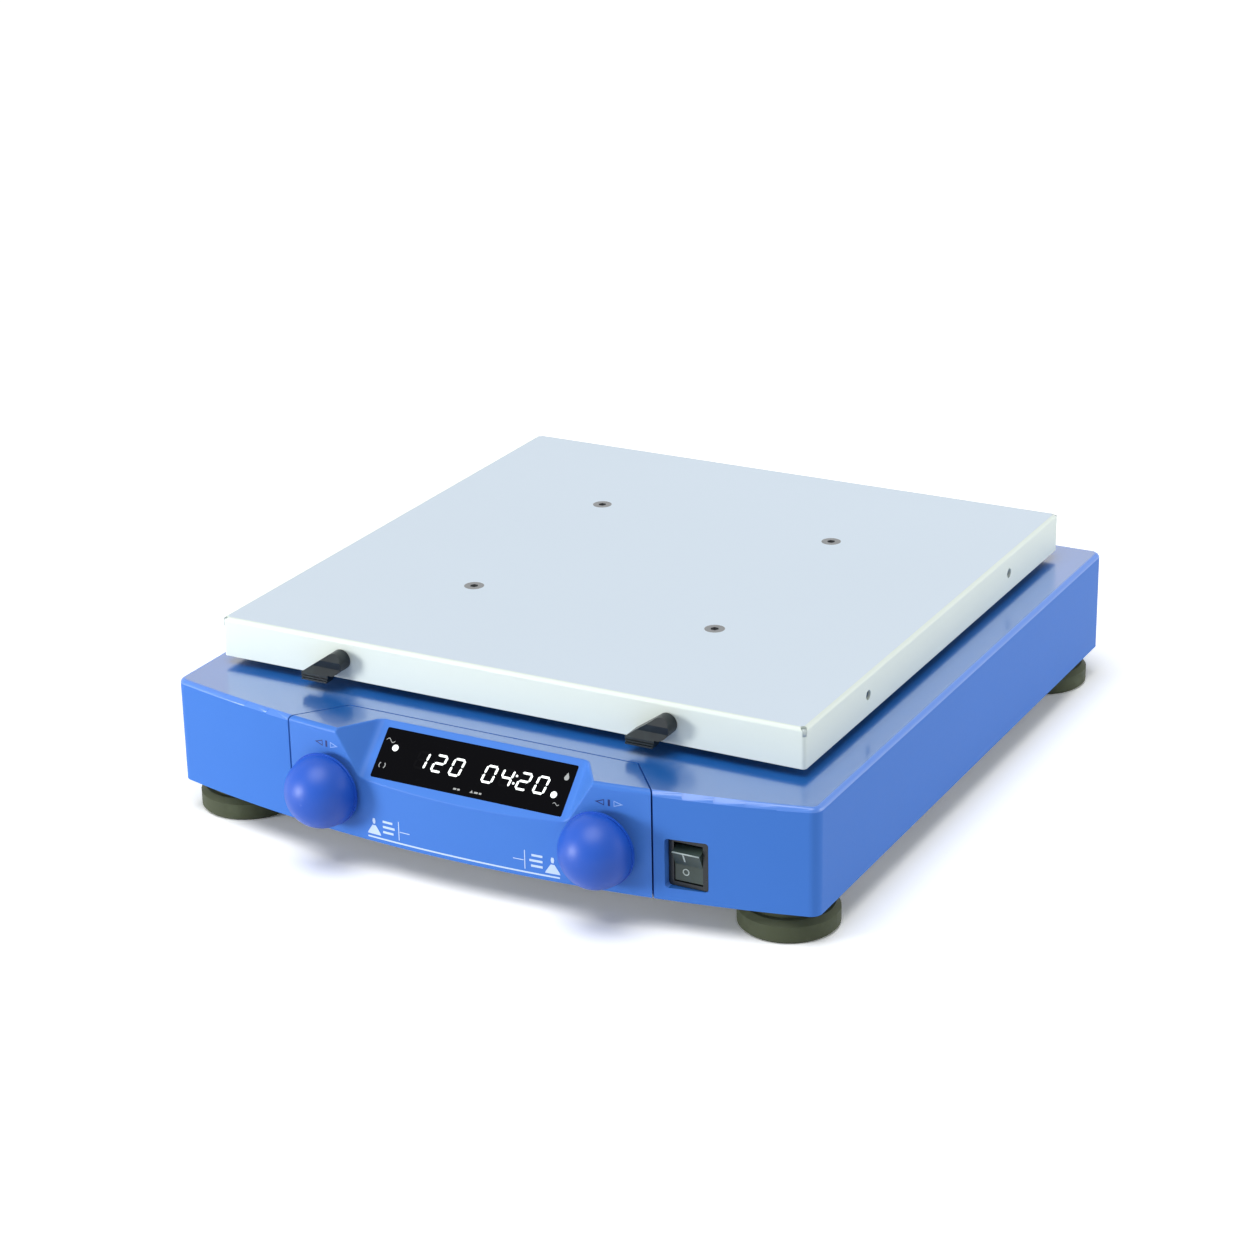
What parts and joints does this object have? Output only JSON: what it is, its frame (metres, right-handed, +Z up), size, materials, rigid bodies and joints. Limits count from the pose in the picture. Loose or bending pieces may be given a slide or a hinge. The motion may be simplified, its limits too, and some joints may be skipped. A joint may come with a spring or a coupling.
{
  "type": "orbital shaker",
  "caption": "Bench orbital shaker: low bowed housing with sloped display, push knobs and rocker switch, and a flat square platform with clamp levers on a crank drive.",
  "frame": {"origin": "centre of the overall box, on the bench plane under the rubber feet", "axes": "+X along the front to the operator's right, -Y towards the operator, +Z up from the bench"},
  "size_m": [0.36, 0.423, 0.098],
  "materials": {
    "housing_blue": "satin",
    "panel_blue": "satin",
    "knob_blue": "gloss",
    "window_black": "gloss",
    "platform_aluminium": "satin",
    "carrier_aluminium": "matte",
    "plate_steel": "satin",
    "screw_steel": "polished",
    "machined_steel": "satin",
    "bearing_steel": "polished",
    "lever_black": "satin",
    "foot_rubber": "matte",
    "belt_rubber": "matte",
    "bronze": "satin",
    "contact_brass": "satin",
    "winding_copper": "satin",
    "board_green": "satin",
    "part_black": "satin",
    "switch_black": "satin",
    "rocker_grey": "satin",
    "pillar_brass": "satin"
  },
  "bodies": {
    "housing": {"housing_cover": "housing_blue", "base_plate": "plate_steel", "control_panel": "panel_blue", "display_window": "window_black", "display_board": "board_green", "digit_modules": "part_black", "encoder_bodies": "machined_steel", "encoder_nuts": "screw_steel", "switch_body": "switch_black", "switch_terminals": "contact_brass", "inlet_body": "part_black", "inlet_pins": "screw_steel", "control_board": "board_green", "control_board_parts": "part_black", "power_board": "board_green", "power_board_parts": "part_black", "board_pillars": "pillar_brass", "main_bearing_housing": "machined_steel", "main_bearing_outer_rings": "bearing_steel", "drive_belt": "belt_rubber", "motor_stator": "machined_steel", "motor_windings": "winding_copper", "motor_bracket": "machined_steel", "frame_screws": "screw_steel", "idler_posts": "machined_steel", "idler_lower_bushes": "bronze", "base_screws": "screw_steel", "rubber_feet": "foot_rubber", "foot_screws": "screw_steel", "foot_nuts": "screw_steel"},
    "crank": {"drive_crank": "machined_steel", "driven_pulley": "carrier_aluminium", "counterweight": "machined_steel", "crank_screws": "screw_steel", "main_bearing_inner_rings": "bearing_steel", "pin_bearing_inner_ring": "bearing_steel", "crank_pin_screw": "screw_steel"},
    "table": {"table_carrier": "carrier_aluminium", "platform": "platform_aluminium", "platform_screws": "screw_steel", "pin_bearing_outer_ring": "bearing_steel", "idler_upper_bushes": "bronze", "lever_bolts": "screw_steel", "lever_nuts": "screw_steel"},
    "motor": {"motor_rotor": "machined_steel", "motor_pulley": "carrier_aluminium"},
    "knob_shaft_left": {"encoder_shaft_left": "contact_brass"},
    "knob_cap_left": {"knob_left": "knob_blue"},
    "knob_shaft_right": {"encoder_shaft_right": "contact_brass"},
    "knob_cap_right": {"knob_right": "knob_blue"},
    "rocker": {"switch_rocker": "rocker_grey"},
    "lever_left": {"clamp_lever_left": "lever_black"},
    "lever_right": {"clamp_lever_right": "lever_black"},
    "idler_front_left": {"idler_crank_front_left": "machined_steel"},
    "idler_front_right": {"idler_crank_front_right": "machined_steel"},
    "idler_rear_left": {"idler_crank_rear_left": "machined_steel"},
    "idler_rear_right": {"idler_crank_rear_right": "machined_steel"}
  },
  "joints": [
    {"name": "drive_spin", "type": "hinge", "parent": "housing", "child": "crank", "pos_m": [0, 0.026, 0.045], "axis": [0, 0, 1], "continuous": true},
    {"name": "table_orbit", "type": "hinge", "parent": "crank", "child": "table", "pos_m": [-0.005, 0.026, 0.082], "axis": [0, 0, 1], "continuous": true},
    {"name": "motor_spin", "type": "hinge", "parent": "housing", "child": "motor", "pos_m": [0, 0.136, 0.045], "axis": [0, 0, 1], "continuous": true},
    {"name": "idler_spin_front_left", "type": "hinge", "parent": "housing", "child": "idler_front_left", "pos_m": [-0.108, -0.082, 0.045], "axis": [0, 0, 1], "continuous": true},
    {"name": "idler_spin_front_right", "type": "hinge", "parent": "housing", "child": "idler_front_right", "pos_m": [0.108, -0.082, 0.045], "axis": [0, 0, 1], "continuous": true},
    {"name": "idler_spin_rear_left", "type": "hinge", "parent": "housing", "child": "idler_rear_left", "pos_m": [-0.108, 0.134, 0.045], "axis": [0, 0, 1], "continuous": true},
    {"name": "idler_spin_rear_right", "type": "hinge", "parent": "housing", "child": "idler_rear_right", "pos_m": [0.108, 0.134, 0.045], "axis": [0, 0, 1], "continuous": true},
    {"name": "knob_turn_left", "type": "hinge", "parent": "housing", "child": "knob_shaft_left", "pos_m": [-0.077, -0.19, 0.041], "axis": [0, 1, 0], "continuous": true},
    {"name": "knob_push_left", "type": "slide", "parent": "knob_shaft_left", "child": "knob_cap_left", "axis": [0, 1, 0], "range_m": [0, 0.001], "stiffness_N_per_m": 1500, "springref_m": -0.001},
    {"name": "lever_turn_left", "type": "hinge", "parent": "table", "child": "lever_left", "pos_m": [-0.0975, -0.145, 0.0875], "axis": [0, 1, 0], "range_deg": [0, 90]},
    {"name": "knob_turn_right", "type": "hinge", "parent": "housing", "child": "knob_shaft_right", "pos_m": [0.077, -0.19, 0.041], "axis": [0, 1, 0], "continuous": true},
    {"name": "knob_push_right", "type": "slide", "parent": "knob_shaft_right", "child": "knob_cap_right", "axis": [0, 1, 0], "range_m": [0, 0.001], "stiffness_N_per_m": 1500, "springref_m": -0.001},
    {"name": "lever_turn_right", "type": "hinge", "parent": "table", "child": "lever_right", "pos_m": [0.0875, -0.145, 0.0875], "axis": [0, 1, 0], "range_deg": [0, 90]},
    {"name": "switch_rock", "type": "hinge", "parent": "housing", "child": "rocker", "pos_m": [0.118, -0.1715, 0.0363], "axis": [1, 0, 0], "range_deg": [-26, 0]}
  ],
  "couplings": [
    {"joint": "table_orbit", "follows": "drive_spin", "ratio": -1},
    {"joint": "motor_spin", "follows": "drive_spin", "ratio": 4},
    {"joint": "idler_spin_front_left", "follows": "drive_spin", "ratio": 1},
    {"joint": "idler_spin_front_right", "follows": "drive_spin", "ratio": 1},
    {"joint": "idler_spin_rear_left", "follows": "drive_spin", "ratio": 1},
    {"joint": "idler_spin_rear_right", "follows": "drive_spin", "ratio": 1}
  ]
}
